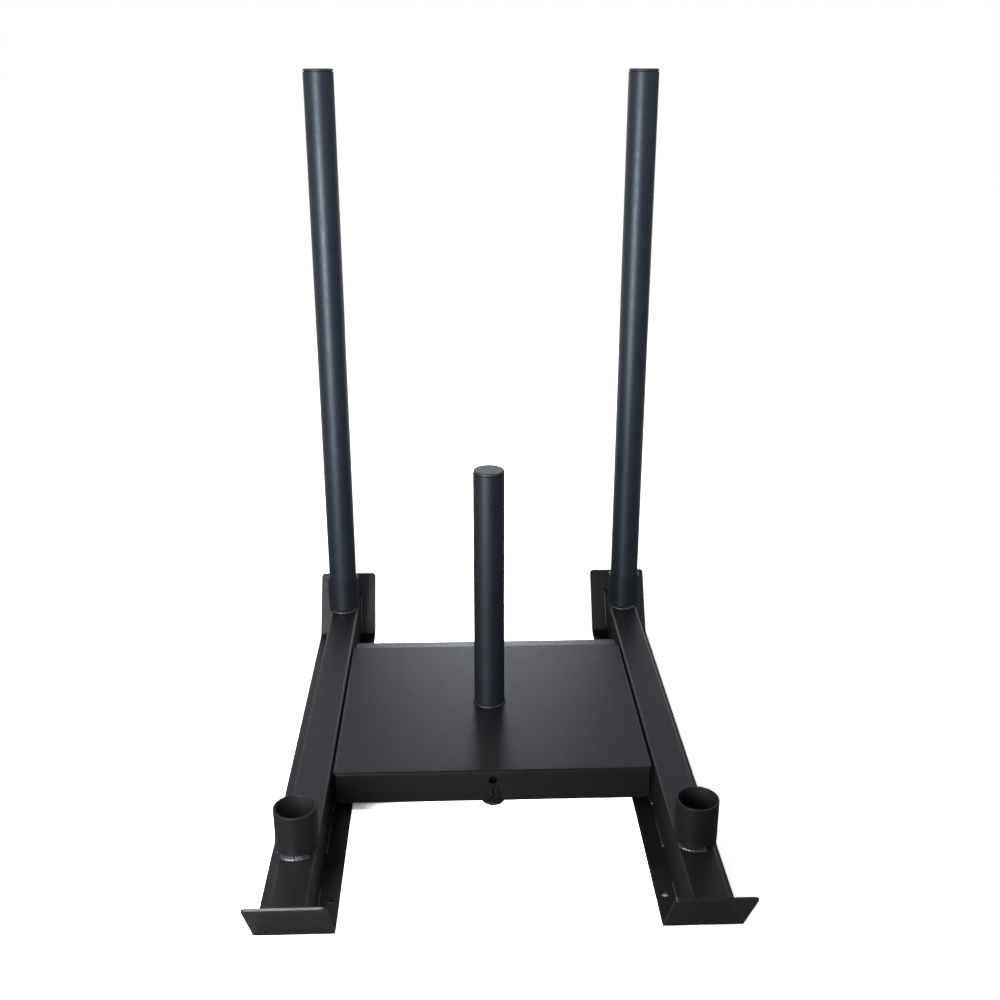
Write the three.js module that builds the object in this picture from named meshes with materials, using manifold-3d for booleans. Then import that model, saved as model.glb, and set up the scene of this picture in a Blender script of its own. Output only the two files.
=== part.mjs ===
// Push sled for strength and conditioning work, in millimetres, +Z up
// Front is -Y, the end with the two empty sockets; left is -X as seen from the front
// The origin lies on the floor under the middle of the sled's box
import * as THREE from "three";
import { mergeVertices } from "three/addons/utils/BufferGeometryUtils.js";
import Module from "manifold-3d";

const wasm = await Module();
wasm.setup();

// Clearances and facet counts
const SEAM = 0.3;
const CUT_OVERRUN = 5;
const TUBE_FACETS = 48;
const CAP_FACETS = 36;
const HOLE_FACETS = 24;
const BEND_STEPS = 6;
const CORNER_STEPS = 5;

// Skis, flat strip bent up at both ends
const SKI_WIDTH = 104;
const SKI_THICKNESS = 4;
const SKI_FLAT_LENGTH = 838;
const SKI_BEND_RADIUS = 12;
const TIP_ANGLE = 55;
const FRONT_TIP_HEIGHT = 95;
const REAR_TIP_HEIGHT = 104;
const TIP_CORNER_RADIUS = 6;
const SKI_HOLE_DIAMETER = 10;
const SKI_HOLE_SETBACK = 60;
const SKI_HOLE_EDGE = 12;

// Runner tubes, rectangular hollow section standing on the skis
const RUNNER_SPACING = 525;
const RUNNER_WIDTH = 50;
const RUNNER_HEIGHT = 70;
const RUNNER_WALL = 3;
const RUNNER_CORNER_RADIUS = 4;

// Sockets, short round tubes standing on the runners
const SOCKET_SPACING = 530;
const SOCKET_PITCH = 732.5;
const SOCKET_SETBACK = 87.5;
const SOCKET_BORE = 51;
const SOCKET_WALL = 3;
const SOCKET_HEIGHT = 60;
const SOCKET_EDGE = 0.8;

// Push poles, round tubes that lift out of the rear sockets
const POLE_DIAMETER = 50;
const POLE_WALL = 3;
const POLE_LENGTH = 950;
const POLE_EDGE = 0.6;

// Pressed-in plastic caps and plugs of poles and horn
const CAP_LIP = 3.5;
const CAP_LIP_INSET = 0.5;
const CAP_LIP_EDGE = 1.2;
const CAP_NECK = 1.2;
const CAP_NECK_INSET = 1.6;
const CAP_DEPTH = 22;
const CAP_WALL = 2.2;
const CAP_ROOF = 3;
const CAP_FINS = 2;
const CAP_FIN_HEIGHT = 2.4;
const CAP_FIN_REACH = 1.1;

// Deck tray, one folded sheet between the runners
const DECK_SETBACK = 257.3;
const DECK_LENGTH = 396;
const DECK_SHEET = 3;
const DECK_BEND_RADIUS = 1;
const FLANGE_BEND_RADIUS = 1;
const DECK_DROP = 3.5;
const FLANGE_DEPTH = 50;
const FLANGE_CORNER_RADIUS = 7;
const CORNER_RELIEF = 2;
const RAMP_ANGLE = 10;
const RAMP_LENGTH = 29;
const RAMP_CORNER_RADIUS = 6;
const TOW_HOLE_DIAMETER = 13;
const TOW_HOLE_RISE = 34.7;

// Cross members, rectangular tubes welded inside the tray
const CROSS_WIDTH = 50;
const CROSS_HEIGHT = 30;
const CROSS_WALL = 2.5;
const CROSS_CORNER_RADIUS = 4;
const CROSS_FRONT_INSET = 37;
const CROSS_REAR_INSET = 80;

// Weight horn, a round post for discs
const HORN_DIAMETER = 48.3;
const HORN_WALL = 3.2;
const HORN_RISE = 392;
const HORN_PLACE_SHARE = 0.5202;

// Tow lug, a round-ended plate on the front flange
const TOW_LUG_RADIUS = 16.7;
const TOW_LUG_REACH = 13.2;
const TOW_LUG_THICKNESS = 4;

// Heights and places worked out from the sizes above
const tipTurn = THREE.MathUtils.degToRad(TIP_ANGLE);
const rampTurn = THREE.MathUtils.degToRad(RAMP_ANGLE);
const quarterTurn = Math.PI / 2;
const runnerBottom = SKI_THICKNESS + SEAM;
const runnerTop = runnerBottom + RUNNER_HEIGHT;
const socketBottom = runnerTop + SEAM;
const deckTop = runnerTop - DECK_DROP;
const deckUnder = deckTop - DECK_SHEET;
const flangeBottom = deckTop - FLANGE_DEPTH;
const crossTop = deckUnder - SEAM;
const runnerX = RUNNER_SPACING / 2;
const socketX = SOCKET_SPACING / 2;
const deckHalf = runnerX - RUNNER_WIDTH / 2 - SEAM;
const foldRadius = DECK_BEND_RADIUS + DECK_SHEET;
const frontFoldRadius = FLANGE_BEND_RADIUS + DECK_SHEET;
const flangeHalf = deckHalf - foldRadius;

// Length of a tip along its underside, from the sharp bend point to its end
function tipLength(height) {
  return (height - SKI_THICKNESS * Math.cos(tipTurn)) / Math.sin(tipTurn);
}

const frontTip = tipLength(FRONT_TIP_HEIGHT);
const rearTip = tipLength(REAR_TIP_HEIGHT);
const overallLength = SKI_FLAT_LENGTH + (frontTip + rearTip) * Math.cos(tipTurn);
const frontBendY = frontTip * Math.cos(tipTurn) - overallLength / 2;
const rearBendY = frontBendY + SKI_FLAT_LENGTH;
const frontSocketY = frontBendY + SOCKET_SETBACK;
const rearSocketY = frontSocketY + SOCKET_PITCH;
const deckFrontY = frontBendY + DECK_SETBACK;
const rampY = deckFrontY + DECK_LENGTH;
const hornY = deckFrontY + DECK_LENGTH * HORN_PLACE_SHARE;

// Finishes
const powderCoat = { color: 0x1d1e20, roughness: 0.42, metalness: 0.1 };
const tubeCoat = { color: 0x17191c, roughness: 0.34, metalness: 0.1 };
const capPlastic = { color: 0x16171a, roughness: 0.5, metalness: 0 };

// Closed solid from a mesh, its shared corners merged
function solidOf(geometry) {
  const bare = geometry.clone();
  bare.deleteAttribute("normal");
  bare.deleteAttribute("uv");
  const merged = mergeVertices(bare);
  const vertProperties = new Float32Array(merged.attributes.position.array);
  const triVerts = new Uint32Array(merged.index.array);
  return new wasm.Manifold(new wasm.Mesh({ numProp: 3, vertProperties, triVerts }));
}

// Mesh geometry from a solid
function geometryOf(solid) {
  const mesh = solid.getMesh();
  const geometry = new THREE.BufferGeometry();
  geometry.setAttribute("position", new THREE.BufferAttribute(mesh.vertProperties, 3));
  geometry.setIndex(new THREE.BufferAttribute(mesh.triVerts, 1));
  geometry.computeVertexNormals();
  return geometry;
}

// Outline drawn in Y and Z, swept along X about the middle plane
function sweepX(shape, width) {
  const geometry = new THREE.ExtrudeGeometry(shape, { depth: width, bevelEnabled: false });
  geometry.translate(0, 0, -width / 2);
  const turn = new THREE.Matrix4();
  turn.makeBasis(new THREE.Vector3(0, 1, 0), new THREE.Vector3(0, 0, 1), new THREE.Vector3(1, 0, 0));
  return geometry.applyMatrix4(turn);
}

// Outline drawn in X and Z, swept along Y between two places
function sweepY(shape, from, to) {
  const geometry = new THREE.ExtrudeGeometry(shape, { depth: to - from, bevelEnabled: false });
  const turn = new THREE.Matrix4();
  turn.makeBasis(new THREE.Vector3(1, 0, 0), new THREE.Vector3(0, 0, 1), new THREE.Vector3(0, -1, 0));
  turn.setPosition(0, to, 0);
  return geometry.applyMatrix4(turn);
}

// Outline drawn in X and Y, swept along Z between two heights
function sweepZ(shape, from, to) {
  const geometry = new THREE.ExtrudeGeometry(shape, { depth: to - from, bevelEnabled: false });
  return geometry.translate(0, 0, from);
}

// Both faces of a bent strip, walked from its first end
// A bend turns left for a positive angle; the left face lies one thickness to the left
function bentStrip(start, heading, thickness, radius, steps) {
  const right = [];
  const left = [];
  const at = start.clone();
  let angle = heading;
  const place = (point, list, offset) => {
    list.push(new THREE.Vector2(point.x - Math.sin(angle) * offset, point.y + Math.cos(angle) * offset));
  };
  place(at, right, 0);
  place(at, left, thickness);
  for (const step of steps) {
    if (step.run !== undefined) {
      at.x += Math.cos(angle) * step.run;
      at.y += Math.sin(angle) * step.run;
      place(at, right, 0);
      place(at, left, thickness);
      continue;
    }
    const side = Math.sign(step.bend);
    const reach = side > 0 ? radius + thickness : -radius;
    const centre = new THREE.Vector2(
      at.x - Math.sin(angle) * reach,
      at.y + Math.cos(angle) * reach,
    );
    for (let i = 1; i <= BEND_STEPS; i += 1) {
      angle += step.bend / BEND_STEPS;
      at.set(centre.x + Math.sin(angle) * reach, centre.y - Math.cos(angle) * reach);
      place(at, right, 0);
      place(at, left, thickness);
    }
  }
  return { right, left };
}

// Closed outline of a bent strip
function stripShape(faces) {
  return new THREE.Shape([...faces.right, ...faces.left.slice().reverse()]);
}

// Rectangle with round corners, drawn about its middle
function roundedRectangle(width, height, radius) {
  const w = width / 2;
  const h = height / 2;
  const points = [];
  const centres = [
    [w - radius, h - radius, 0],
    [radius - w, h - radius, quarterTurn],
    [radius - w, radius - h, 2 * quarterTurn],
    [w - radius, radius - h, 3 * quarterTurn],
  ];
  for (const [cx, cy, begin] of centres) {
    for (let i = 0; i <= CORNER_STEPS; i += 1) {
      const a = begin + (quarterTurn * i) / CORNER_STEPS;
      points.push(new THREE.Vector2(cx + radius * Math.cos(a), cy + radius * Math.sin(a)));
    }
  }
  return points;
}

// Hollow section outline, its middle at the given height
function hollowSection(width, height, wall, radius, middle) {
  const shift = (point) => new THREE.Vector2(point.x, point.y + middle);
  const shape = new THREE.Shape(roundedRectangle(width, height, radius).map(shift));
  const innerRadius = Math.max(radius - wall, radius / 4);
  const bore = roundedRectangle(width - 2 * wall, height - 2 * wall, innerRadius);
  shape.holes.push(new THREE.Path(bore.map(shift)));
  return shape;
}

// Prism that rounds one corner of a plate
// Its corner stands at `corner`; u and v point along the plate's two edges, inward
function cornerCutter(corner, u, v, radius, depth) {
  const shape = new THREE.Shape();
  shape.moveTo(-CUT_OVERRUN, -CUT_OVERRUN);
  shape.lineTo(radius, -CUT_OVERRUN);
  shape.lineTo(radius, 0);
  for (let i = 1; i <= BEND_STEPS; i += 1) {
    const a = -quarterTurn - (quarterTurn * i) / BEND_STEPS;
    shape.lineTo(radius + radius * Math.cos(a), radius + radius * Math.sin(a));
  }
  shape.lineTo(-CUT_OVERRUN, radius);
  const thick = depth + 2 * CUT_OVERRUN;
  const geometry = new THREE.ExtrudeGeometry(shape, { depth: thick, bevelEnabled: false });
  geometry.translate(0, 0, -thick / 2);
  const w = new THREE.Vector3().crossVectors(u, v);
  const turn = new THREE.Matrix4().makeBasis(u, v, w);
  turn.setPosition(corner);
  return solidOf(geometry.applyMatrix4(turn));
}

// Upright round piece turned from its half section, listed as radius and height
function turned(profile, facets) {
  const points = profile.map(([radius, height]) => new THREE.Vector2(radius, height));
  return new THREE.LatheGeometry(points, facets).rotateX(quarterTurn);
}

// Round tube standing on its base, its edges broken at both ends
function roundTube(outer, bore, height, edge) {
  return turned(
    [
      [bore, edge],
      [bore + edge, 0],
      [outer - edge, 0],
      [outer, edge],
      [outer, height - edge],
      [outer - edge, height],
      [bore + edge, height],
      [bore, height - edge],
      [bore, edge],
    ],
    TUBE_FACETS,
  );
}

// Pressed-in plug with a lip, its lip's underside at height zero
// The barrel hangs down inside the tube and is open below
function plugGeometry(outer, bore, neck) {
  const lip = outer - CAP_LIP_INSET;
  const barrel = bore - SEAM;
  const core = barrel - CAP_FIN_REACH;
  const inside = core - CAP_WALL;
  const bottom = -neck - CAP_DEPTH;
  const finPitch = (CAP_DEPTH - CAP_FIN_HEIGHT) / (CAP_FINS + 1);
  const profile = [
    [0, -neck - CAP_ROOF],
    [inside, -neck - CAP_ROOF],
    [inside, bottom],
    [core, bottom],
  ];
  for (let i = CAP_FINS; i >= 1; i -= 1) {
    const top = -neck - finPitch * i;
    profile.push([core, top - CAP_FIN_HEIGHT]);
    profile.push([barrel, top]);
    profile.push([core, top]);
  }
  profile.push([core, -neck]);
  profile.push([neck > 0 ? outer - CAP_NECK_INSET : core, neck > 0 ? SEAM - neck : -neck]);
  profile.push([neck > 0 ? outer - CAP_NECK_INSET : core, 0]);
  profile.push([lip, 0]);
  profile.push([lip, CAP_LIP - CAP_LIP_EDGE]);
  profile.push([lip - CAP_LIP_EDGE, CAP_LIP]);
  profile.push([0, CAP_LIP]);
  return turned(profile, CAP_FACETS);
}

const sled = new THREE.Group();
sled.name = "push_sled";

// One named mesh with its own finish
function addMesh(parent, name, geometry, finish) {
  const mesh = new THREE.Mesh(geometry, new THREE.MeshStandardMaterial(finish));
  mesh.name = name;
  parent.add(mesh);
  return mesh;
}

// Skis: the strip walked from the front tip's end, along the floor, to the rear tip's end
const bendReach = (SKI_BEND_RADIUS + SKI_THICKNESS) * Math.tan(tipTurn / 2);
const skiStart = new THREE.Vector2(frontBendY - frontTip * Math.cos(tipTurn), frontTip * Math.sin(tipTurn));
const skiSteps = [
  { run: frontTip - bendReach },
  { bend: tipTurn },
  { run: SKI_FLAT_LENGTH - 2 * bendReach },
  { bend: tipTurn },
  { run: rearTip - bendReach },
];
const skiFaces = bentStrip(skiStart, -tipTurn, SKI_THICKNESS, SKI_BEND_RADIUS, skiSteps);

// Ski solid with round tip corners and one hole in its inner wing, side is -1 left and 1 right
function skiSolid(side) {
  let solid = solidOf(sweepX(stripShape(skiFaces), SKI_WIDTH));
  const ends = [
    [skiStart, new THREE.Vector3(0, Math.cos(tipTurn), -Math.sin(tipTurn))],
    [skiFaces.right.at(-1), new THREE.Vector3(0, -Math.cos(tipTurn), -Math.sin(tipTurn))],
  ];
  for (const [end, down] of ends) {
    for (const edge of [-1, 1]) {
      const corner = new THREE.Vector3((edge * SKI_WIDTH) / 2, end.x, end.y);
      const inward = new THREE.Vector3(-edge, 0, 0);
      solid = solid.subtract(cornerCutter(corner, inward, down, TIP_CORNER_RADIUS, 2 * SKI_THICKNESS));
    }
  }
  const depth = SKI_THICKNESS + 2 * CUT_OVERRUN;
  const drill = new THREE.CylinderGeometry(SKI_HOLE_DIAMETER / 2, SKI_HOLE_DIAMETER / 2, depth, HOLE_FACETS);
  drill.rotateX(quarterTurn);
  drill.translate(-side * (SKI_WIDTH / 2 - SKI_HOLE_EDGE), frontBendY + SKI_HOLE_SETBACK, SKI_THICKNESS / 2);
  return solid.subtract(solidOf(drill));
}

// Runner tubes: hollow section cut to lie inside the bent ski, mitred against both tips
const seatFaces = bentStrip(skiStart, -tipTurn, SKI_THICKNESS + SEAM, SKI_BEND_RADIUS - SEAM, skiSteps);
const seatShape = new THREE.Shape(seatFaces.left);
const seatSolid = solidOf(sweepX(seatShape, RUNNER_WIDTH + 2 * CUT_OVERRUN));
const runnerSection = hollowSection(
  RUNNER_WIDTH,
  RUNNER_HEIGHT,
  RUNNER_WALL,
  RUNNER_CORNER_RADIUS,
  runnerBottom + RUNNER_HEIGHT / 2,
);
const runnerBar = solidOf(sweepY(runnerSection, -overallLength / 2, overallLength / 2));
const runnerSolid = runnerBar.intersect(seatSolid);

const sides = [
  ["left", -1],
  ["right", 1],
];
for (const [label, side] of sides) {
  const ski = addMesh(sled, `ski_${label}`, geometryOf(skiSolid(side)), powderCoat);
  ski.position.x = side * runnerX;
  const tube = addMesh(sled, `runner_tube_${label}`, geometryOf(runnerSolid), powderCoat);
  tube.position.x = side * runnerX;
}

// Sockets
const socketOuter = SOCKET_BORE / 2 + SOCKET_WALL;
const socketPlaces = [
  ["front", frontSocketY],
  ["rear", rearSocketY],
];
for (const [end, y] of socketPlaces) {
  for (const [label, side] of sides) {
    const geometry = roundTube(socketOuter, SOCKET_BORE / 2, SOCKET_HEIGHT, SOCKET_EDGE);
    const socket = addMesh(sled, `socket_${end}_${label}`, geometry, powderCoat);
    socket.position.set(side * socketX, y, socketBottom);
  }
}

// Push poles with a plug at the foot and a cap at the top
const poleBore = POLE_DIAMETER / 2 - POLE_WALL;
const poleFoot = runnerTop + SEAM;
for (const [label, side] of sides) {
  const pole = new THREE.Group();
  pole.position.set(side * socketX, rearSocketY, poleFoot);
  sled.add(pole);
  const plug = addMesh(pole, `pole_plug_${label}`, plugGeometry(POLE_DIAMETER / 2, poleBore, 0), capPlastic);
  plug.rotation.x = Math.PI;
  plug.position.z = CAP_LIP;
  const tubeBase = CAP_LIP + SEAM;
  const tube = roundTube(POLE_DIAMETER / 2, poleBore, POLE_LENGTH, POLE_EDGE);
  addMesh(pole, `pole_${label}`, tube, tubeCoat).position.z = tubeBase;
  const cap = plugGeometry(POLE_DIAMETER / 2, poleBore, CAP_NECK);
  addMesh(pole, `pole_cap_${label}`, cap, capPlastic).position.z = tubeBase + POLE_LENGTH + CAP_NECK;
}

// Deck tray, long section: front flange up, fold, deck, shallow ramp down at the rear
const rampReach = frontFoldRadius * Math.tan(rampTurn / 2);
const longStart = new THREE.Vector2(deckFrontY + DECK_SHEET, flangeBottom);
const longFaces = bentStrip(longStart, quarterTurn, DECK_SHEET, FLANGE_BEND_RADIUS, [
  { run: FLANGE_DEPTH - frontFoldRadius },
  { bend: -quarterTurn },
  { run: DECK_LENGTH - frontFoldRadius - rampReach },
  { bend: -rampTurn },
  { run: RAMP_LENGTH - rampReach },
]);

// Deck tray, cross section: side flange up, fold, deck, fold, side flange down
const crossStart = new THREE.Vector2(-deckHalf + DECK_SHEET, flangeBottom);
const crossFaces = bentStrip(crossStart, quarterTurn, DECK_SHEET, DECK_BEND_RADIUS, [
  { run: FLANGE_DEPTH - foldRadius },
  { bend: -quarterTurn },
  { run: 2 * (deckHalf - foldRadius) },
  { bend: -quarterTurn },
  { run: FLANGE_DEPTH - foldRadius },
]);
const sideFrontY = deckFrontY + frontFoldRadius + CORNER_RELIEF;
const sideRearY = rampY - rampReach - CORNER_RELIEF;
let tray = solidOf(sweepX(stripShape(longFaces), 2 * flangeHalf));
tray = tray.add(solidOf(sweepY(stripShape(crossFaces), sideFrontY, sideRearY)));

// Round lower corners of the front flange and round corners of the rear ramp
const rampEnd = longFaces.left.at(-1);
const rampUp = new THREE.Vector3(0, -Math.cos(rampTurn), Math.sin(rampTurn));
for (const edge of [-1, 1]) {
  const inward = new THREE.Vector3(-edge, 0, 0);
  const low = new THREE.Vector3(edge * flangeHalf, deckFrontY + DECK_SHEET / 2, flangeBottom);
  const up = new THREE.Vector3(0, 0, 1);
  tray = tray.subtract(cornerCutter(low, inward, up, FLANGE_CORNER_RADIUS, DECK_SHEET));
  const rear = new THREE.Vector3(edge * flangeHalf, rampEnd.x, rampEnd.y);
  tray = tray.subtract(cornerCutter(rear, inward, rampUp, RAMP_CORNER_RADIUS, 2 * DECK_SHEET));
}

// Tow hole through the front flange
const towRadius = TOW_HOLE_DIAMETER / 2;
const towDrill = new THREE.CylinderGeometry(towRadius, towRadius, DECK_SHEET + 2 * CUT_OVERRUN, HOLE_FACETS);
towDrill.translate(0, deckFrontY + DECK_SHEET / 2, flangeBottom + TOW_HOLE_RISE);
tray = tray.subtract(solidOf(towDrill));

// Hole that the horn's foot passes through
const hornHole = HORN_DIAMETER / 2 + SEAM;
const hornDrill = new THREE.CylinderGeometry(hornHole, hornHole, DECK_SHEET + 2 * CUT_OVERRUN, TUBE_FACETS);
hornDrill.rotateX(quarterTurn);
hornDrill.translate(0, hornY, deckTop - DECK_SHEET / 2);
tray = tray.subtract(solidOf(hornDrill));
addMesh(sled, "deck_tray", geometryOf(tray), powderCoat);

// Cross members under the deck, the middle one under the horn
const crossHalf = flangeHalf - SEAM;
const crossSection = hollowSection(CROSS_WIDTH, CROSS_HEIGHT, CROSS_WALL, CROSS_CORNER_RADIUS, 0);
const crossPlaces = [
  ["front", deckFrontY + CROSS_FRONT_INSET],
  ["middle", hornY],
  ["rear", rampY - CROSS_REAR_INSET],
];
for (const [end, y] of crossPlaces) {
  const bar = sweepX(crossSection, 2 * crossHalf);
  const member = addMesh(sled, `cross_member_${end}`, bar, powderCoat);
  member.position.set(0, y, crossTop - CROSS_HEIGHT / 2);
}

// Weight horn standing on the middle cross member, through the deck, and its cap
const hornFoot = crossTop + SEAM;
const hornTop = deckTop + HORN_RISE;
const hornBore = HORN_DIAMETER / 2 - HORN_WALL;
const hornTube = roundTube(HORN_DIAMETER / 2, hornBore, hornTop - hornFoot, POLE_EDGE);
addMesh(sled, "weight_horn", hornTube, tubeCoat).position.set(0, hornY, hornFoot);
const hornCap = plugGeometry(HORN_DIAMETER / 2, hornBore, CAP_NECK);
addMesh(sled, "horn_cap", hornCap, capPlastic).position.set(0, hornY, hornTop + CAP_NECK);

// Tow lug: part of a round plate standing out of the front flange at its lower edge
const lugSetback = TOW_LUG_RADIUS - TOW_LUG_REACH;
const lugTurn = Math.asin((lugSetback + SEAM) / TOW_LUG_RADIUS);
const lugShape = new THREE.Shape();
lugShape.absarc(0, deckFrontY + lugSetback, TOW_LUG_RADIUS, Math.PI + lugTurn, 2 * Math.PI - lugTurn, false);
const lugPoints = new THREE.Shape(lugShape.getSpacedPoints(HOLE_FACETS));
const lug = sweepZ(lugPoints, flangeBottom, flangeBottom + TOW_LUG_THICKNESS);
addMesh(sled, "tow_lug", lug, powderCoat);

export default sled;
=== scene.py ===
import math

import bmesh
import bpy
from mathutils import Matrix, Vector, noise


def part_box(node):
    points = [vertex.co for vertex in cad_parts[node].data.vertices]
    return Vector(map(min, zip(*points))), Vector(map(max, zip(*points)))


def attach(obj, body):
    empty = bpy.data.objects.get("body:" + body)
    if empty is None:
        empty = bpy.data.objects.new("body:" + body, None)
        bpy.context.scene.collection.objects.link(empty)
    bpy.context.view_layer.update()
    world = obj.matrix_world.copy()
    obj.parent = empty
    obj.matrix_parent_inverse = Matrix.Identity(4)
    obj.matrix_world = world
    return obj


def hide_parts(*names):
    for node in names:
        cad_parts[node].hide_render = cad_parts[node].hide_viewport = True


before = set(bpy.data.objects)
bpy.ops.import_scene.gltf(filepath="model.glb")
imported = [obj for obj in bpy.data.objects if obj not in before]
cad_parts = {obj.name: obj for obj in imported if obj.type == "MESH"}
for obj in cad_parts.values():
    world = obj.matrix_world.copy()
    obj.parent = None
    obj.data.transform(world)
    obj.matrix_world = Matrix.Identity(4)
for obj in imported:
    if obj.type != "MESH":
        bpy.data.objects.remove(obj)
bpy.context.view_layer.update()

# Skis
# Flat steel strip, 104 by 4 mm, cold bent up at both ends and sheared with round corners.
# They carry everything, slide on the ground, and are powder coated together with the welded frame.
MM = 0.001
SIDES = (("left", -1), ("right", 1))
SKI_X = 262.5 * MM
SKI_WIDTH = 104 * MM
SKI_THICKNESS = 4 * MM
SKI_FLAT = 838 * MM
SKI_BEND = 12 * MM
SKI_EDGE = 0.7 * MM
TIP_TURN = math.radians(55)
TIP_CORNER = 6 * MM
FRONT_TIP = (95 * MM - SKI_THICKNESS * math.cos(TIP_TURN)) / math.sin(TIP_TURN)
REAR_TIP = (104 * MM - SKI_THICKNESS * math.cos(TIP_TURN)) / math.sin(TIP_TURN)
FRONT_BEND_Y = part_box("ski_left")[0][1] + FRONT_TIP * math.cos(TIP_TURN)
REAR_BEND_Y = FRONT_BEND_Y + SKI_FLAT
WING_HOLE = 10 * MM
WING_HOLE_Y = FRONT_BEND_Y + 60 * MM
WING_HOLE_X = SKI_X - SKI_WIDTH / 2 + 12 * MM
DRILL_DEPTH = 30 * MM
DUST_GREY = "#414245"


def linear(colour):
    """An sRGB hex colour as the linear colour that a shader takes."""
    parts = [int(colour[i : i + 2], 16) / 255 for i in (1, 3, 5)]
    return tuple(p / 12.92 if p <= 0.04045 else ((p + 0.055) / 1.055) ** 2.4 for p in parts) + (1.0,)


def add(tree, kind, values=None, links=None, **settings):
    """One node of a material, with its settings, its socket values and what feeds it."""
    made = tree.nodes.new(kind)
    for key, value in settings.items():
        setattr(made, key, value)
    for key, value in (values or {}).items():
        made.inputs[key].default_value = value
    for key, source in (links or {}).items():
        tree.links.new(source, made.inputs[key])
    return made


def blank_material(name):
    """A new material with nothing in it, and its tree."""
    material = bpy.data.materials.new(name)
    material.use_nodes = True
    material.node_tree.nodes.clear()
    return material, material.node_tree


def coated_steel(name, dark, light, sheen, ior, rough, peel_mm=3.2, peel_depth_mm=0.05, dust=0.12):
    """Steel under a thin black coat: cloudy colour, uneven gloss, orange peel, fine grain and dust."""
    material, tree = blank_material(name)
    where = {"Vector": add(tree, "ShaderNodeTexCoord").outputs["Object"]}
    cloud = add(tree, "ShaderNodeTexNoise", {"Scale": 1 / (45 * MM), "Detail": 4, "Roughness": 0.6}, where)
    smear = add(tree, "ShaderNodeTexNoise", {"Scale": 1 / (9 * MM), "Detail": 5, "Roughness": 0.65}, where)
    shades = {6: linear(dark), 7: linear(light)}
    colour = add(tree, "ShaderNodeMix", shades, {0: cloud.outputs["Fac"]}, data_type="RGBA")
    # Dust and handling specks, under a millimetre in life, drawn at 2 mm so that they show
    speck = add(tree, "ShaderNodeTexVoronoi", {"Scale": 1 / (11 * MM), "Randomness": 1.0}, where)
    chance = add(tree, "ShaderNodeSeparateColor", None, {"Color": speck.outputs["Color"]})
    small = add(
        tree, "ShaderNodeMapRange", {"From Min": 0.06, "From Max": 0.11, "To Min": 1, "To Max": 0},
        {"Value": speck.outputs["Distance"]},
    )
    some = add(
        tree, "ShaderNodeMapRange", {"From Min": 1 - dust, "From Max": 1 - dust / 2},
        {"Value": chance.outputs["Red"]},
    )
    both = add(
        tree, "ShaderNodeMath", None, {0: small.outputs["Result"], 1: some.outputs["Result"]},
        operation="MULTIPLY",
    )
    dusty = add(
        tree, "ShaderNodeMix", {7: linear(DUST_GREY)}, {0: both.outputs["Value"], 6: colour.outputs[2]},
        data_type="RGBA",
    )
    uneven = add(
        tree, "ShaderNodeMapRange",
        {"From Min": 0.3, "From Max": 0.7, "To Min": rough - 0.05, "To Max": rough + 0.05},
        {"Value": smear.outputs["Fac"]},
    )
    peel = add(
        tree, "ShaderNodeTexNoise", {"Scale": 1 / (peel_mm * MM), "Detail": 2, "Roughness": 0.5}, where,
    )
    peel_bump = add(tree, "ShaderNodeBump", {"Distance": peel_depth_mm * MM}, {"Height": peel.outputs["Fac"]})
    # Grain of the powder, 0.15 mm in life, drawn at 1.1 mm so that it shows
    grain = add(tree, "ShaderNodeTexNoise", {"Scale": 1 / (1.1 * MM), "Detail": 3, "Roughness": 0.7}, where)
    grain_bump = add(
        tree, "ShaderNodeBump", {"Distance": 0.03 * MM},
        {"Height": grain.outputs["Fac"], "Normal": peel_bump.outputs["Normal"]},
    )
    shader = add(
        tree, "ShaderNodeBsdfPrincipled", {"IOR": ior, "Specular Tint": linear(sheen)},
        {
            "Base Color": dusty.outputs[2],
            "Roughness": uneven.outputs["Result"],
            "Normal": grain_bump.outputs["Normal"],
        },
    )
    add(tree, "ShaderNodeOutputMaterial", None, {"Surface": shader.outputs["BSDF"]})
    return material


# Black polyester powder coat baked on sandblasted steel: satin, with a slight orange peel
frame_coat = coated_steel("powder_coated_steel", "#0c0c0d", "#121213", "#fafcff", ior=1.42, rough=0.4)


def baked_mesh(obj):
    """A piece's mesh with its modifiers applied."""
    graph = bpy.context.evaluated_depsgraph_get()
    return bpy.data.meshes.new_from_object(obj.evaluated_get(graph))


def baked(obj):
    """Applies the modifiers of a piece to its mesh."""
    mesh = baked_mesh(obj)
    obj.modifiers.clear()
    obj.data = mesh


def piece(bm, name):
    """A scene object from a mesh under construction."""
    mesh = bpy.data.meshes.new(name)
    bm.to_mesh(mesh)
    bm.free()
    obj = bpy.data.objects.new(name, mesh)
    bpy.context.scene.collection.objects.link(obj)
    return obj


def thickened(obj, thickness):
    """Gives a sheet its thickness, on the side that its faces turn away from."""
    sheet = obj.modifiers.new("sheet", "SOLIDIFY")
    sheet.thickness = thickness
    sheet.offset = -1
    sheet.use_even_offset = True
    baked(obj)


def drilled(obj, cutters):
    """Cuts the shapes out of a piece, and clears them away."""
    for bm in cutters:
        cutter = piece(bm, "cutter")
        cut = obj.modifiers.new("cut", "BOOLEAN")
        cut.operation = "DIFFERENCE"
        cut.solver = "EXACT"
        cut.object = cutter
        baked(obj)
        bpy.data.objects.remove(cutter)


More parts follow.
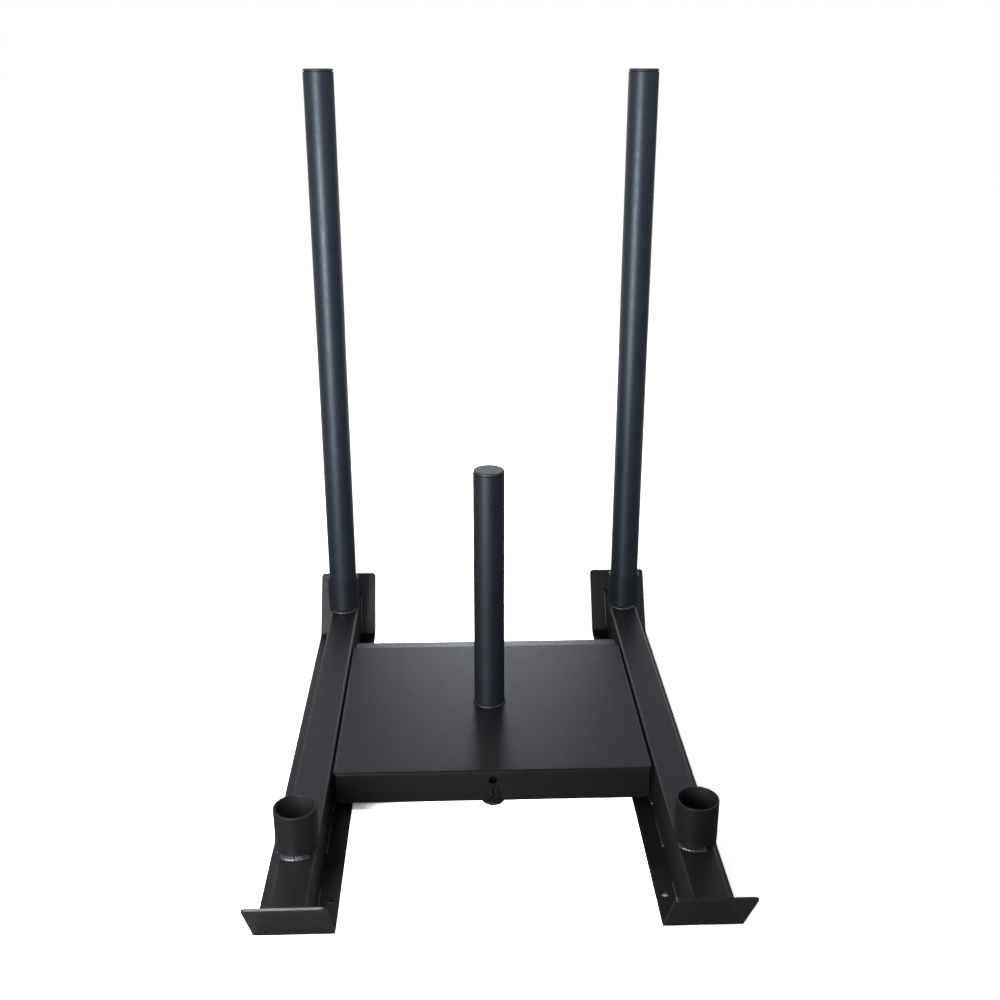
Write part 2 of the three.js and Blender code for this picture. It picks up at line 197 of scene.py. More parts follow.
def finished(obj, material, body="sled", edge=0.5 * MM, limit=35):
    """Breaks the sharp edges, shades the piece smoothly between them, and fixes it to its body."""
    if edge:
        bevel = obj.modifiers.new("edges", "BEVEL")
        bevel.width = edge
        bevel.segments = 2
        bevel.limit_method = "ANGLE"
        bevel.angle_limit = math.radians(limit)
        bevel.use_clamp_overlap = True
    for face in obj.data.polygons:
        face.use_smooth = True
    weighted = obj.modifiers.new("flat_faces", "WEIGHTED_NORMAL")
    weighted.keep_sharp = True
    baked(obj)
    obj.data.materials.clear()
    obj.data.materials.append(material)
    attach(obj, body)
    return obj


def ends_of(edges):
    """The points at the ends of some edges."""
    return list({v for e in edges for v in e.verts})


def folded(bm, edges, centre, turn, steps, axis=(1, 0, 0)):
    """Folds the open edge of a sheet round a line, and gives the new edge."""
    made = bmesh.ops.spin(
        bm, geom=list(edges) + ends_of(edges), cent=centre, axis=axis, dvec=(0, 0, 0),
        angle=turn, steps=steps, use_merge=False, use_normal_flip=False, use_duplicate=False,
    )
    return [g for g in made["geom_last"] if isinstance(g, bmesh.types.BMEdge)]


def extended(bm, edges, step):
    """Runs the open edge of a sheet on in a straight line, and gives the new edge."""
    made = bmesh.ops.extrude_edge_only(bm, edges=edges)["geom"]
    bmesh.ops.translate(bm, verts=[g for g in made if isinstance(g, bmesh.types.BMVert)], vec=step)
    run_on = [g for g in made if isinstance(g, bmesh.types.BMEdge)]
    return [e for e in run_on if all(v in made for v in e.verts) and len(e.link_faces) == 1]


def rounded(bm, corners, radius, segments=6):
    """Rounds off the corners of a sheet."""
    bmesh.ops.bevel(
        bm, geom=corners, offset=radius, offset_type="OFFSET", segments=segments, profile=0.5,
        affect="VERTICES", material=-1,
    )


def ski_strip():
    """One ski's underside as a sheet: flat on the floor, then folded and run on at either end."""
    fold_height = SKI_BEND + SKI_THICKNESS
    reach = fold_height * math.tan(TIP_TURN / 2)
    low, high = FRONT_BEND_Y + reach, REAR_BEND_Y - reach
    bm = bmesh.new()
    left = bm.verts.new((-SKI_WIDTH / 2, low, 0))
    right = bm.verts.new((SKI_WIDTH / 2, low, 0))
    front = [bm.edges.new((left, right))]
    rear = extended(bm, front, (0, high - low, 0))
    for edges, y, turn, tip in ((front, low, -TIP_TURN, FRONT_TIP), (rear, high, TIP_TURN, REAR_TIP)):
        edge = folded(bm, edges, (0, y, fold_height), turn, 14)
        run = tip - reach
        out = math.copysign(math.cos(TIP_TURN), turn)
        edge = extended(bm, edge, (0, out * run, math.sin(TIP_TURN) * run))
        rounded(bm, ends_of(edge), TIP_CORNER)
    # The faces turn down, so that the strip gets its thickness above them
    bmesh.ops.recalc_face_normals(bm, faces=bm.faces)
    if sum(f.normal.z * f.calc_area() for f in bm.faces) > 0:
        bmesh.ops.reverse_faces(bm, faces=bm.faces)
    return bm


def drill_bit(x, y, z, radius, facets=32):
    """An upright round cutter."""
    bm = bmesh.new()
    bmesh.ops.create_cone(
        bm, cap_ends=True, segments=facets, radius1=radius, radius2=radius, depth=DRILL_DEPTH,
        matrix=Matrix.Translation((x, y, z)),
    )
    return bm


for label, side in SIDES:
    bm = ski_strip()
    bmesh.ops.translate(bm, verts=bm.verts, vec=(side * SKI_X, 0, 0))
    ski = piece(bm, f"ski_strip_{label}")
    thickened(ski, SKI_THICKNESS)
    drilled(ski, [drill_bit(side * WING_HOLE_X, WING_HOLE_Y, 0, WING_HOLE / 2)])
    finished(ski, frame_coat, edge=SKI_EDGE)
    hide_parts(f"ski_{label}")

# Runner tubes
# Rectangular hollow section, 50 by 70 by 3 mm with round corners, standing on the skis.
# Both ends are mitred to the turned-up tips; the tubes are stitch welded to the strip.
RUNNER_WIDTH = 50 * MM
RUNNER_HEIGHT = 70 * MM
RUNNER_WALL = 3 * MM
RUNNER_CORNER = 4 * MM
BAR_EDGE = 0.4 * MM
SEAM = 0.3 * MM
RUNNER_BOTTOM = SKI_THICKNESS + SEAM
RUNNER_TOP = RUNNER_BOTTOM + RUNNER_HEIGHT
RUNNER_UNCUT = 1.0
TOUCHING = 1e-6
BENDS = ((FRONT_BEND_Y, -1), (REAR_BEND_Y, 1))
WELD_STEP = 0.65 * MM
# Where each stitch along the runners' inner (-1) and outer (1) lower edges starts and ends, in millimetres
STITCHES = (
    (-1, ((-375, -340), (-262, -196), (-160, -120), (40, 90), (270, 330))),
    (1, ((-350, -290), (-150, -90), (60, 120), (260, 320))),
)
STITCH_BEAD = 2.9 * MM
MITRE_BEAD = 2.6 * MM
MITRE_TOP_BEAD = 2.8 * MM
MITRE_WELD_FROM, MITRE_WELD_TO = 12 * MM, 80 * MM
# A bead's thickness wanders by this share, this often in a metre, and each bead in its own way
WANDER = 0.12
WANDERS_PER_METRE = 120
BEADS_APART = 7.3


def drawn_out(bm, step):
    """Draws a flat shape out in a straight line into a closed solid."""
    made = bmesh.ops.extrude_face_region(bm, geom=bm.faces[:])["geom"]
    bmesh.ops.translate(bm, verts=[g for g in made if isinstance(g, bmesh.types.BMVert)], vec=step)
    bmesh.ops.recalc_face_normals(bm, faces=bm.faces)


def cut_off(bm, point, outward):
    """Cuts away what lies beyond a plane, and gives the elements along the cut."""
    return bmesh.ops.bisect_plane(
        bm, geom=bm.verts[:] + bm.edges[:] + bm.faces[:], dist=TOUCHING, plane_co=point, plane_no=outward,
        clear_outer=True, clear_inner=False,
    )["geom_cut"]


def hollow_bar(width, height, wall, corner, turn, start, step):
    """A rectangular hollow section: a ring with round corners, drawn out along a straight line."""
    bm = bmesh.new()
    bmesh.ops.create_grid(bm, x_segments=1, y_segments=1, size=0.5)
    bmesh.ops.scale(bm, vec=(width, height, 1), verts=bm.verts)
    rounded(bm, bm.verts[:], corner, 8)
    bmesh.ops.inset_region(bm, faces=bm.faces[:], thickness=wall, use_even_offset=True, use_boundary=True)
    middle = max(bm.faces, key=lambda f: len(f.verts))
    bmesh.ops.delete(bm, geom=[middle], context="FACES_ONLY")
    bmesh.ops.rotate(bm, verts=bm.verts, cent=(0, 0, 0), matrix=turn)
    bmesh.ops.translate(bm, verts=bm.verts, vec=start)
    drawn_out(bm, step)
    return bm


def mitred(bm, point, outward):
    """Cuts a hollow bar off square to a direction, and closes the cut face of its wall."""
    rim = [g for g in cut_off(bm, point, outward) if isinstance(g, bmesh.types.BMEdge)]
    bmesh.ops.bridge_loops(bm, edges=rim)
    bmesh.ops.recalc_face_normals(bm, faces=bm.faces)


def tip_directions(way):
    """Up along the front (-1) or rear (1) tip, and square off its upper face."""
    up = Vector((0, way * math.cos(TIP_TURN), math.sin(TIP_TURN)))
    inward = Vector((0, -way * math.sin(TIP_TURN), math.cos(TIP_TURN)))
    return up, inward


# Powder coat over a weld bead: drawn thinner over the ripples, and glossier
weld_coat = coated_steel(
    "powder_coated_weld", "#101111", "#171819", "#f6f8ff", ior=1.55, rough=0.3, peel_mm=2.0, dust=0.1,
)


def bead(curve, path, radius, seed, closed):
    """A weld bead along a path: a round rope whose thickness ripples once for every droplet laid."""
    # A heavy bead is laid slower, with longer and flatter droplets
    pitch, swell = (5.2 * MM, 0.1) if radius > 3.1 * MM else (2.6 * MM, 0.2)
    rope = curve.splines.new("POLY")
    rope.points.add(len(path) - 1)
    rope.use_cyclic_u = closed
    travelled = 0.0
    for i, point in enumerate(path):
        travelled += (point - path[i - 1]).length if i else 0.0
        ripple = 1 - swell + swell * abs(math.sin(math.pi * travelled / pitch)) ** 0.7
        wander = WANDER * noise.noise(Vector((travelled * WANDERS_PER_METRE, seed * BEADS_APART, 0.5)))
        # An open bead runs out to a blunt point over three steps at either end
        near = 1 if closed else min(1, min(i, len(path) - 1 - i) / 3)
        taper = math.sqrt(max(0.05, 1 - (1 - near) ** 2))
        rope.points[i].co = (*point, 1)
        rope.points[i].radius = radius * (ripple + wander) * taper


def straight(start, end):
    """Points along a straight weld."""
    start, end = Vector(start), Vector(end)
    count = max(6, round((end - start).length / WELD_STEP))
    return [start.lerp(end, i / count) for i in range(count + 1)]


def arc(centre, radius, first, last):
    """Points along a round weld, lying level, between two angles in degrees."""
    count = max(12, round(abs(math.radians(last - first)) * radius / WELD_STEP))
    whole = abs(last - first) >= 360
    turns = [math.radians(first + (last - first) * i / count) for i in range(count if whole else count + 1)]
    x, y, z = centre
    return [Vector((x + radius * math.cos(t), y + radius * math.sin(t), z)) for t in turns]


def welds(name, beads, coat=weld_coat, closed=False):
    """One piece from several beads, each a path and its radius."""
    curve = bpy.data.curves.new(name, "CURVE")
    curve.dimensions = "3D"
    # The radius of each point is then the bead's own, in metres
    curve.bevel_depth = 1
    curve.bevel_resolution = 4
    curve.use_fill_caps = True
    for number, (path, radius) in enumerate(beads):
        bead(curve, path, radius, number + len(name), closed)
    rope = bpy.data.objects.new("rope", curve)
    bpy.context.scene.collection.objects.link(rope)
    bm = bmesh.new()
    bm.from_mesh(baked_mesh(rope))
    bpy.data.objects.remove(rope)
    bmesh.ops.remove_doubles(bm, verts=bm.verts, dist=TOUCHING)
    bmesh.ops.recalc_face_normals(bm, faces=bm.faces)
    finished(piece(bm, name), coat, edge=0)


for label, side in SIDES:
    along = Matrix.Rotation(math.radians(90), 3, "X")
    start = (side * SKI_X, -RUNNER_UNCUT / 2, RUNNER_BOTTOM + RUNNER_HEIGHT / 2)
    length = (0, RUNNER_UNCUT, 0)
    bm = hollow_bar(RUNNER_WIDTH, RUNNER_HEIGHT, RUNNER_WALL, RUNNER_CORNER, along, start, length)
    for bend_y, way in BENDS:
        inward = tip_directions(way)[1]
        mitred(bm, Vector((side * SKI_X, bend_y, 0)) + inward * (SKI_THICKNESS + SEAM), -inward)
    tube = finished(piece(bm, f"runner_{label}"), frame_coat, edge=BAR_EDGE)
    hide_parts(f"runner_tube_{label}")
    beads = []
    for edge_side, spans in STITCHES:
        x = side * (SKI_X + edge_side * (RUNNER_WIDTH / 2 - 0.6 * MM))
        z = RUNNER_BOTTOM + 0.4 * MM
        beads += [(straight((x, a * MM, z), (x, b * MM, z)), STITCH_BEAD) for a, b in spans]
    # A full weld up both sides of each mitre and across its top
    for bend_y, way in BENDS:
        up, inward = tip_directions(way)
        seat = inward * (SKI_THICKNESS + 0.6 * MM)
        for edge_side in (-1, 1):
            foot = Vector((side * SKI_X + edge_side * (RUNNER_WIDTH / 2 - 0.4 * MM), bend_y, 0)) + seat
            beads.append((straight(foot + up * MITRE_WELD_FROM, foot + up * MITRE_WELD_TO), MITRE_BEAD))
        top = Vector((side * SKI_X, bend_y, 0)) + seat + up * (RUNNER_TOP / math.sin(TIP_TURN) - 3.2 * MM)
        across = Vector((RUNNER_WIDTH / 2 - 3 * MM, 0, 0))
        beads.append((straight(top - across, top + across), MITRE_TOP_BEAD))
    welds(f"runner_welds_{label}", beads)

# Sockets
# Short round tubes, 57 by 3 mm and 60 mm long, that take the feet of the push poles.
# Cut from tube, edges broken, and welded to the runners round the front and the back of the foot.
SOCKET_X = 265 * MM
SOCKET_OUTER = 28.5 * MM
SOCKET_BORE = 25.5 * MM
SOCKET_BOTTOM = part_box("socket_front_left")[0][2]
SOCKET_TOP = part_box("socket_front_left")[1][2]
SOCKET_Y = {end: sum(corner[1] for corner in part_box(f"socket_{end}_left")) / 2 for end in ("front", "rear")}
TUBE_EDGE = 0.6 * MM
# Angles at which the welds round the foot start and end, in degrees
WELD_BEHIND = {"left": (30, 130), "right": (50, 150)}
WELD_IN_FRONT = {
    ("front", "left"): (-132, -54), ("front", "right"): (-147, -70),
    ("rear", "left"): (-130, -30), ("rear", "right"): (-150, -50),
}
WELD_LOWER_PASS = {"left": (-124, -52), "right": (-144, -72)}
FOOT_BEAD = 3.6 * MM
LOWER_BEAD = 3.2 * MM
ROOT_BEAD = 3 * MM
ROOT_REACH = 13 * MM


def turned(profile, centre, steps=96):
    """An upright round piece, spun from its half section of radii and heights."""
    bm = bmesh.new()
    corners = [bm.verts.new((radius, 0, height)) for radius, height in profile]
    edges = [bm.edges.new(pair) for pair in zip(corners, corners[1:])]
    if profile[0][0] > 0 and profile[-1][0] > 0:
        edges.append(bm.edges.new((corners[-1], corners[0])))
    bmesh.ops.spin(
        bm, geom=corners + edges, cent=(0, 0, 0), axis=(0, 0, 1), dvec=(0, 0, 0), angle=math.tau,
        steps=steps, use_merge=True, use_normal_flip=False, use_duplicate=False,
    )
    bmesh.ops.remove_doubles(bm, verts=bm.verts, dist=TOUCHING)
    bmesh.ops.recalc_face_normals(bm, faces=bm.faces)
    bmesh.ops.translate(bm, verts=bm.verts, vec=centre)
    return bm


def tube_section(outer, bore, low, high):
    """Half section of a plain round tube."""
    return [(bore, low), (outer, low), (outer, high), (bore, high)]


# The front pair's coat is drawn darker and duller than the frame's, as painted shade, and the rear pair's
# paler and in the poles' bluish enamel colour, as painted light
socket_coat_painted_light_and_shade = {
    "front": coated_steel("socket_coat_darkened_as_painted_shade", "#0c0c0e", "#121214", "#f6f6ff", ior=1.34, rough=0.4),
    "rear": coated_steel(
        "socket_coat_paled_as_painted_light", "#0b0e11", "#11151a", "#e4f0ff", ior=1.57, rough=0.42, peel_mm=4.0, dust=0.1,
    ),
}
# Inside the bore the coat is drawn paler grey, as painted light from the lamp that reaches in
bore_coat_painted_light = coated_steel("bore_wall_paled_as_painted_light", "#141516", "#1e1f21", "#ffffff", ior=1.45, rough=0.45)
for end in ("front", "rear"):
    for label, side in SIDES:
        x, y = side * SOCKET_X, SOCKET_Y[end]
        bm = turned(tube_section(SOCKET_OUTER, SOCKET_BORE, SOCKET_BOTTOM, SOCKET_TOP), (x, y, 0))
        socket = finished(piece(bm, f"pole_socket_{end}_{label}"), socket_coat_painted_light_and_shade[end], edge=TUBE_EDGE)
        socket.data.materials.append(bore_coat_painted_light)
        # The bore's wall faces take the paler coat, which is painted light
        for face in socket.data.polygons:
            across = math.hypot(face.center.x - x, face.center.y - y)
            if across < SOCKET_BORE + 0.3 * MM and abs(face.normal.z) < 0.1:
                face.material_index = 1
        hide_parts(f"socket_{end}_{label}")
        # One run behind the foot, and two in front, the lower of them further out
        foot = (x, y, RUNNER_TOP + 0.6 * MM)
        ledge = (x, y, RUNNER_TOP + 0.2 * MM)
        beads = [
            (arc(foot, SOCKET_OUTER + 0.6 * MM, *WELD_BEHIND[label]), FOOT_BEAD),
            (arc(foot, SOCKET_OUTER + 0.6 * MM, *WELD_IN_FRONT[end, label]), FOOT_BEAD),
            (arc(ledge, SOCKET_OUTER + 3.4 * MM, *WELD_LOWER_PASS[label]), LOWER_BEAD),
        ]
        welds(f"socket_weld_{end}_{label}", beads)
        # The bore overhangs the runner's outer side a little, and a run from below closes it
        root_x, root_z = side * (SKI_X + RUNNER_WIDTH / 2 + 1.5 * MM), RUNNER_TOP - 3.1 * MM
        root = straight((root_x, y - ROOT_REACH, root_z), (root_x, y + ROOT_REACH, root_z))
        welds(f"socket_root_{end}_{label}", [(root, ROOT_BEAD)], frame_coat)

# Deck tray
# One sheet of 3 mm steel: deck, front flange, two side flanges and a shallow ramp down at the rear.
# Folded on a press brake with reliefs at the corners, and welded between the runner tubes.
SHEET = 3 * MM
SIDE_FOLD = 3 * MM
FRONT_FOLD = 1 * MM
FLANGE_DEPTH = 50 * MM
FLANGE_CORNER = 7 * MM
RELIEF = 2 * MM
DECK_TOP = RUNNER_TOP - 3.5 * MM
DECK_FRONT_Y = FRONT_BEND_Y + 257.3 * MM
RAMP_Y = DECK_FRONT_Y + 396 * MM
RAMP_TURN = math.radians(10)
RAMP_LENGTH = 29 * MM
RAMP_CORNER = 6 * MM
FLANGE_HALF = SKI_X - RUNNER_WIDTH / 2 - SEAM - SIDE_FOLD - SHEET
FLANGE_BOTTOM = DECK_TOP - FLANGE_DEPTH
HORN_Y = DECK_FRONT_Y + 206 * MM
HORN_RADIUS = 24.15 * MM
TOW_HOLE = 13 * MM
TOW_HOLE_Z = FLANGE_BOTTOM + 34.7 * MM


def open_side(bm, side, middle):
    """The deck's open edge at its left (-1) or right (1), between the reliefs."""
    return [
        e for e in bm.edges
        if len(e.link_faces) == 1
        and all(abs(v.co.x - side * FLANGE_HALF) < 1e-5 and abs(v.co.z - DECK_TOP) < 1e-5 for v in e.verts)
        and abs(sum(v.co.y for v in e.verts) / 2 - middle) < 1e-3
    ]


def deck_sheet():
    """The tray's outer skin: the deck, cut into three strips, with its folds run out from its edges."""
    front_reach = FRONT_FOLD + SHEET
    side_reach = SIDE_FOLD + SHEET
    ramp_reach = front_reach * math.tan(RAMP_TURN / 2)
    low, high = DECK_FRONT_Y + front_reach, RAMP_Y - ramp_reach
    bm = bmesh.new()
    left = bm.verts.new((-FLANGE_HALF, low, DECK_TOP))
    right = bm.verts.new((FLANGE_HALF, low, DECK_TOP))
    front = [bm.edges.new((left, right))]
    rear = front
    for length in (RELIEF, high - low - 2 * RELIEF, RELIEF):
        rear = extended(bm, rear, (0, length, 0))
    edge = folded(bm, front, (0, low, DECK_TOP - front_reach), math.pi / 2, 8)
    edge = extended(bm, edge, (0, 0, front_reach - FLANGE_DEPTH))
    rounded(bm, ends_of(edge), FLANGE_CORNER)
    edge = folded(bm, rear, (0, high, DECK_TOP - front_reach), -RAMP_TURN, 4)
    run = RAMP_LENGTH - ramp_reach
    edge = extended(bm, edge, (0, math.cos(RAMP_TURN) * run, -math.sin(RAMP_TURN) * run))
    rounded(bm, ends_of(edge), RAMP_CORNER)
    for side in (-1, 1):
        edges = open_side(bm, side, (low + high) / 2)
        centre = (side * FLANGE_HALF, 0, DECK_TOP - side_reach)
        edge = folded(bm, edges, centre, side * math.pi / 2, 10, axis=(0, 1, 0))
        extended(bm, edge, (0, 0, side_reach - FLANGE_DEPTH))
    # The faces turn out, so that the sheet gets its thickness inside them
    bmesh.ops.recalc_face_normals(bm, faces=bm.faces)
    deck = max(bm.faces, key=lambda f: f.calc_area())
    if deck.normal.z < 0:
        bmesh.ops.reverse_faces(bm, faces=bm.faces)
    return bm


def tow_drill():
    """A level round cutter that runs through the front flange."""
    bm = bmesh.new()
    bmesh.ops.create_circle(bm, cap_ends=True, segments=48, radius=TOW_HOLE / 2)
    level_out = Matrix.Rotation(math.radians(90), 3, "X")
    bmesh.ops.rotate(bm, verts=bm.verts, cent=(0, 0, 0), matrix=level_out)
    bmesh.ops.translate(bm, verts=bm.verts, vec=(0, DECK_FRONT_Y - 5 * MM, TOW_HOLE_Z))
    drawn_out(bm, (0, 11 * MM, 0))
    return bm


tray = piece(deck_sheet(), "folded_tray")
thickened(tray, SHEET)
drilled(tray, [tow_drill(), drill_bit(0, HORN_Y, DECK_TOP, HORN_RADIUS + SEAM, 96)])
finished(tray, frame_coat)
# Over the front fold the powder is drawn thin and dull
fold_coat = coated_steel("dull_powder_coat_on_fold", "#0c0c0d", "#121213", "#ffffff", ior=1.2, rough=0.5)
tray.data.materials.append(fold_coat)
for face in tray.data.polygons:
    if face.normal.y < -0.25 and face.normal.z > 0.15 and face.center.y < DECK_FRONT_Y + SHEET + FRONT_FOLD:
        face.material_index = 1
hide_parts("deck_tray")

# Cross members
# Rectangular hollow section, 50 by 30 by 2.5 mm, that stiffens the tray from below.
# Welded across between the side flanges, the middle one under the horn.
CROSS_WIDTH = 50 * MM
CROSS_HEIGHT = 30 * MM
CROSS_WALL = 2.5 * MM
CROSS_CORNER = 4 * MM
CROSS_END_BEAD = 2.6 * MM
CROSS_TOP_BEAD = 2.4 * MM
CROSS_STITCH = 35 * MM
CROSS_STITCHES_X = (-150 * MM, 120 * MM)
beads = []
for end in ("front", "middle", "rear"):
    low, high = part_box(f"cross_member_{end}")
    across = Matrix.Rotation(math.radians(90), 3, "Y") @ Matrix.Rotation(math.radians(90), 3, "Z")
    start = (low[0], (low[1] + high[1]) / 2, (low[2] + high[2]) / 2)
    length = (high[0] - low[0], 0, 0)
    bm = hollow_bar(CROSS_WIDTH, CROSS_HEIGHT, CROSS_WALL, CROSS_CORNER, across, start, length)
    bar = finished(piece(bm, f"cross_bar_{end}"), frame_coat, edge=BAR_EDGE)
    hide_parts(f"cross_member_{end}")
    # Upright at both ends, then two stitches along either side, under the deck
    for x in (low[0] - 1.2 * MM, high[0] + 1.2 * MM):
        for y in (low[1] + 1 * MM, high[1] - 1 * MM):
            beads.append((straight((x, y, low[2] + 4 * MM), (x, y, high[2] - 3 * MM)), CROSS_END_BEAD))
    z = high[2] - 0.8 * MM
    for x in CROSS_STITCHES_X:
        for y in (low[1] - 0.2 * MM, high[1] + 0.2 * MM):
            beads.append((straight((x, y, z), (x + CROSS_STITCH, y, z)), CROSS_TOP_BEAD))
welds("cross_bar_welds", beads)

# Tow lug
# A round-ended plate of 4 mm that stands out of the front flange's lower edge, under the tow hole.
# A lump of weld holds it from above.
LUG_RADIUS = 16.7 * MM
LUG_BEAD = 2.2 * MM
LUG_BEAD_REACH = 13 * MM
# Short droplets, laid side by side up the flange to just under the hole: where each starts across and
# above the floor, its length, and its radius, in millimetres
DROPLETS = (
    (-7, 27, 6, 2.9), (1, 27.5, 7, 3.0), (-6, 31, 6, 2.8), (2.5, 31.5, 7, 3.0),
    (-7, 35, 6, 2.8), (0.5, 35, 6, 2.6), (-5, 39, 5, 2.5), (2, 38.5, 6, 2.6),
    (-5.5, 42.5, 5, 2.2), (1, 42.5, 5, 2.3), (-3, 46, 6, 1.9),
)
DROPLET_RISE = 1.2
low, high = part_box("tow_lug")
bm = bmesh.new()
bmesh.ops.create_circle(bm, cap_ends=True, segments=64, radius=LUG_RADIUS)
bmesh.ops.translate(bm, verts=bm.verts, vec=(0, low[1] + LUG_RADIUS, low[2]))
cut_off(bm, (0, high[1], 0), (0, 1, 0))
drawn_out(bm, (0, 0, high[2] - low[2]))
lug = finished(piece(bm, "tow_plate"), frame_coat, edge=TUBE_EDGE)
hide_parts("tow_lug")
lump = []
for x, z, run, size in DROPLETS:
    start = (x * MM, DECK_FRONT_Y - 0.5 * MM, z * MM)
    end = ((x + run) * MM, DECK_FRONT_Y - 0.8 * MM, (z + DROPLET_RISE) * MM)
    lump.append((straight(start, end), size * MM))
y, z = DECK_FRONT_Y - 0.4 * MM, high[2] + 0.2 * MM
lump.append((straight((-LUG_BEAD_REACH, y, z), (LUG_BEAD_REACH, y, z)), LUG_BEAD))
welds("tow_weld", lump, fold_coat)

# Weight horn
# Round tube, 48.3 by 3.2 mm, through the deck and down onto the middle cross member.
# Semi-gloss black enamel, with a ring of weld where it meets the deck.
HORN_BORE = 20.95 * MM
HORN_BEAD = 2.1 * MM
low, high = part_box("weight_horn")
# Black semi-gloss enamel sprayed on smooth drawn tube: finer than the powder coat. Its colour is drawn darker
# than the poles', as painted shade from the dark deck it faces
horn_coat_painted_shade = coated_steel(
    "enamelled_horn_tube_painted_shade", "#080a0d", "#0e1217", "#dfecff", ior=1.5, rough=0.48,
    peel_mm=6.0, peel_depth_mm=0.04, dust=0.06,
)
bm = turned(tube_section(HORN_RADIUS, HORN_BORE, low[2], high[2]), (0, HORN_Y, 0), 128)
horn = finished(piece(bm, "horn_post"), horn_coat_painted_shade, edge=TUBE_EDGE)
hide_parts("weight_horn")
ring = arc((0, HORN_Y, DECK_TOP + 0.6 * MM), HORN_RADIUS + 0.3 * MM, 0, 360)
welds("horn_weld", [(ring, HORN_BEAD)], closed=True)

# Horn cap
# Black polyethylene, injection moulded: a flat lip with a broken edge, over a ribbed barrel.
# Pressed into the tube's end until the lip stands just off it.
CAP_LIP = 3.5 * MM
CAP_LIP_INSET = 0.5 * MM
CAP_LIP_EDGE = 1.2 * MM
CAP_NECK = 1.2 * MM
CAP_NECK_INSET = 1.6 * MM
CAP_DEPTH = 22 * MM
CAP_WALL = 2.2 * MM
CAP_ROOF = 3 * MM
CAP_FINS = 2
CAP_FIN_HEIGHT = 2.4 * MM
CAP_FIN_REACH = 1.1 * MM
CAP_EDGE = 0.25 * MM


def moulded_plastic(name, dark, light):
    """Moulded black polyethylene: even colour, soft sheen and the fine grain of a spark-eroded mould."""
    material, tree = blank_material(name)
    where = {"Vector": add(tree, "ShaderNodeTexCoord").outputs["Object"]}
    cloud = add(tree, "ShaderNodeTexNoise", {"Scale": 1 / (14 * MM), "Detail": 3}, where)
    shades = {6: linear(dark), 7: linear(light)}
    colour = add(tree, "ShaderNodeMix", shades, {0: cloud.outputs["Fac"]}, data_type="RGBA")
    # Mould grain, 0.2 mm in life, drawn at 0.8 mm so that it shows
    grain = add(tree, "ShaderNodeTexNoise", {"Scale": 1 / (0.8 * MM), "Detail": 3, "Roughness": 0.6}, where)
    bump = add(tree, "ShaderNodeBump", {"Distance": 0.04 * MM}, {"Height": grain.outputs["Fac"]})
    shader = add(
        tree, "ShaderNodeBsdfPrincipled", {"IOR": 1.52, "Roughness": 0.5},
        {"Base Color": colour.outputs[2], "Normal": bump.outputs["Normal"]},
    )
    add(tree, "ShaderNodeOutputMaterial", None, {"Surface": shader.outputs["BSDF"]})
    return material


cap_plastic = moulded_plastic("moulded_polyethylene", "#1b1d20", "#25282c")


def cap_section(outer, bore, neck, face, way):
    """Half section of a pressed-in cap: lip, neck and ribbed barrel. The lip's underside is at face."""
    lip = outer - CAP_LIP_INSET
    barrel = bore - SEAM
    core = barrel - CAP_FIN_REACH
    inside = core - CAP_WALL
    roof = neck + CAP_ROOF
    foot = neck + CAP_DEPTH
    pitch = (CAP_DEPTH - CAP_FIN_HEIGHT) / (CAP_FINS + 1)
    points = [(0, -roof), (inside, -roof), (inside, -foot), (core, -foot)]
    for i in range(CAP_FINS, 0, -1):
        top = neck + pitch * i
        points += [(core, -top - CAP_FIN_HEIGHT), (barrel, -top), (core, -top)]
    points.append((core, -neck))
    if neck:
        shoulder = outer - CAP_NECK_INSET
        points += [(shoulder, -neck + SEAM), (shoulder, 0)]
    points += [(lip, 0), (lip, CAP_LIP - CAP_LIP_EDGE), (lip - 0.35 * MM, CAP_LIP - 0.5 * MM)]
    points += [(lip - CAP_LIP_EDGE, CAP_LIP), (0, CAP_LIP)]
    return [(radius, face + way * height) for radius, height in points]


low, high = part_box("horn_cap")
bm = turned(cap_section(HORN_RADIUS, HORN_BORE, CAP_NECK, high[2] - CAP_LIP, 1), (0, HORN_Y, 0))
cap = finished(piece(bm, "horn_end_cap"), cap_plastic, edge=CAP_EDGE, limit=30)
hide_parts("horn_cap")

# Push poles
# Round tube, 50 by 3 mm and 950 mm long, in the horn's enamel; they stand loose in the rear sockets.
# A plug closes the foot and a cap closes the top, both in black polyethylene.
POLE_RADIUS = 25 * MM
POLE_BORE = 22 * MM
# The horn's enamel, here a little paler and bluer, since the horn's copy is darkened as painted shade
pole_coat = coated_steel(
    "enamelled_tube", "#0c1117", "#131a23", "#dcecff", ior=1.61, rough=0.46,
    peel_mm=6.0, peel_depth_mm=0.04, dust=0.06,
)
for label, side in SIDES:
    body = f"{label}_pole"
    centre = (side * SOCKET_X, SOCKET_Y["rear"], 0)
    low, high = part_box(f"pole_{label}")
    bm = turned(tube_section(POLE_RADIUS, POLE_BORE, low[2], high[2]), centre, 128)
    pole = finished(piece(bm, f"push_pole_{label}"), pole_coat, body, TUBE_EDGE)
    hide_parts(f"pole_{label}")
    low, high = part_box(f"pole_cap_{label}")
    bm = turned(cap_section(POLE_RADIUS, POLE_BORE, CAP_NECK, high[2] - CAP_LIP, 1), centre)
    cap = finished(piece(bm, f"pole_end_cap_{label}"), cap_plastic, body, CAP_EDGE, 30)
    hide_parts(f"pole_cap_{label}")
    low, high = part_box(f"pole_plug_{label}")
    bm = turned(cap_section(POLE_RADIUS, POLE_BORE, 0, low[2] + CAP_LIP, -1), centre)
    plug = finished(piece(bm, f"pole_foot_plug_{label}"), cap_plastic, body, CAP_EDGE, 30)
    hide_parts(f"pole_plug_{label}")

